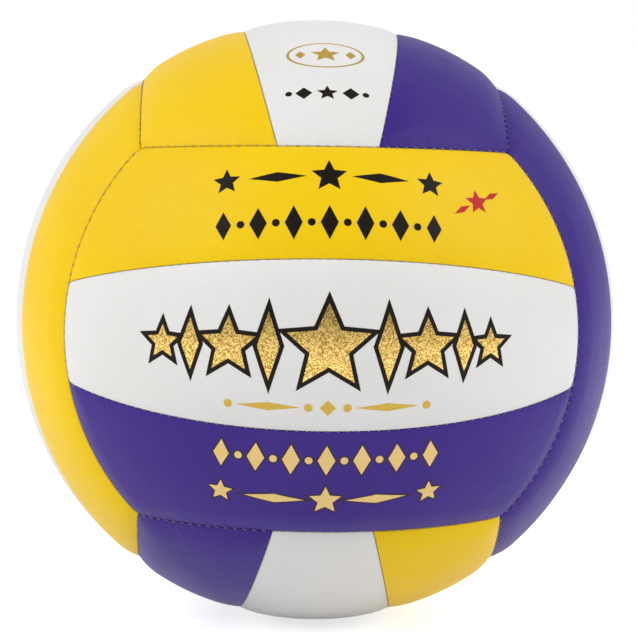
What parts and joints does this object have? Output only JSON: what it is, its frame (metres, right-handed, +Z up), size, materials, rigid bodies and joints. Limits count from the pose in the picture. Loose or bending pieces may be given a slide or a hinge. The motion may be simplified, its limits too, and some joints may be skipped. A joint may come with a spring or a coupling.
{
  "type": "volleyball",
  "caption": "Inflated ball for volleyball: strips of soft synthetic leather sewn over foam, cloth and a rubber bladder, with a self-sealing valve at the back.",
  "frame": {"origin": "centre of the ball, which is also the centre of its box", "axes": "+Z up, -Y towards the viewer of the pictured face, +Y out of the valve, +X to that viewer's right"},
  "size_m": [0.21, 0.2099, 0.21],
  "materials": {
    "yellow_leather": "satin",
    "white_leather": "satin",
    "purple_leather": "satin",
    "panel_foam": "matte",
    "lining_cloth": "matte",
    "sewing_thread": "matte",
    "bladder_rubber": "satin",
    "patch_cloth": "matte",
    "valve_rubber": "matte",
    "core_rubber": "matte"
  },
  "bodies": {
    "ball": {"skin_top_left": "yellow_leather", "skin_top_middle": "white_leather", "skin_top_right": "purple_leather", "skin_bottom_right": "yellow_leather", "skin_bottom_middle": "white_leather", "skin_bottom_left": "purple_leather", "skin_right_front": "purple_leather", "skin_right_middle": "white_leather", "skin_right_back": "yellow_leather", "skin_left_back": "purple_leather", "skin_left_middle": "white_leather", "skin_left_front": "yellow_leather", "skin_back_lower": "yellow_leather", "skin_back_middle": "white_leather", "skin_back_upper": "purple_leather", "skin_front_upper": "yellow_leather", "skin_front_middle": "white_leather", "skin_front_lower": "purple_leather", "foam_top_left": "panel_foam", "foam_top_middle": "panel_foam", "foam_top_right": "panel_foam", "foam_bottom_right": "panel_foam", "foam_bottom_middle": "panel_foam", "foam_bottom_left": "panel_foam", "foam_right_front": "panel_foam", "foam_right_middle": "panel_foam", "foam_right_back": "panel_foam", "foam_left_back": "panel_foam", "foam_left_middle": "panel_foam", "foam_left_front": "panel_foam", "foam_back_lower": "panel_foam", "foam_back_middle": "panel_foam", "foam_back_upper": "panel_foam", "foam_front_upper": "panel_foam", "foam_front_middle": "panel_foam", "foam_front_lower": "panel_foam", "lining_top_left": "lining_cloth", "lining_top_middle": "lining_cloth", "lining_top_right": "lining_cloth", "lining_bottom_right": "lining_cloth", "lining_bottom_middle": "lining_cloth", "lining_bottom_left": "lining_cloth", "lining_right_front": "lining_cloth", "lining_right_middle": "lining_cloth", "lining_right_back": "lining_cloth", "lining_left_back": "lining_cloth", "lining_left_middle": "lining_cloth", "lining_left_front": "lining_cloth", "lining_back_lower": "lining_cloth", "lining_back_middle": "lining_cloth", "lining_back_upper": "lining_cloth", "lining_front_upper": "lining_cloth", "lining_front_middle": "lining_cloth", "lining_front_lower": "lining_cloth", "face_seam_thread": "sewing_thread", "strip_seam_thread": "sewing_thread", "bladder": "bladder_rubber", "valve_patch": "patch_cloth", "valve_housing": "valve_rubber"},
    "core": {"valve_core": "core_rubber"}
  },
  "joints": [
    {"name": "core_slide", "type": "slide", "parent": "ball", "child": "core", "axis": [0, 1, 0], "range_m": [0, 0.018]}
  ]
}
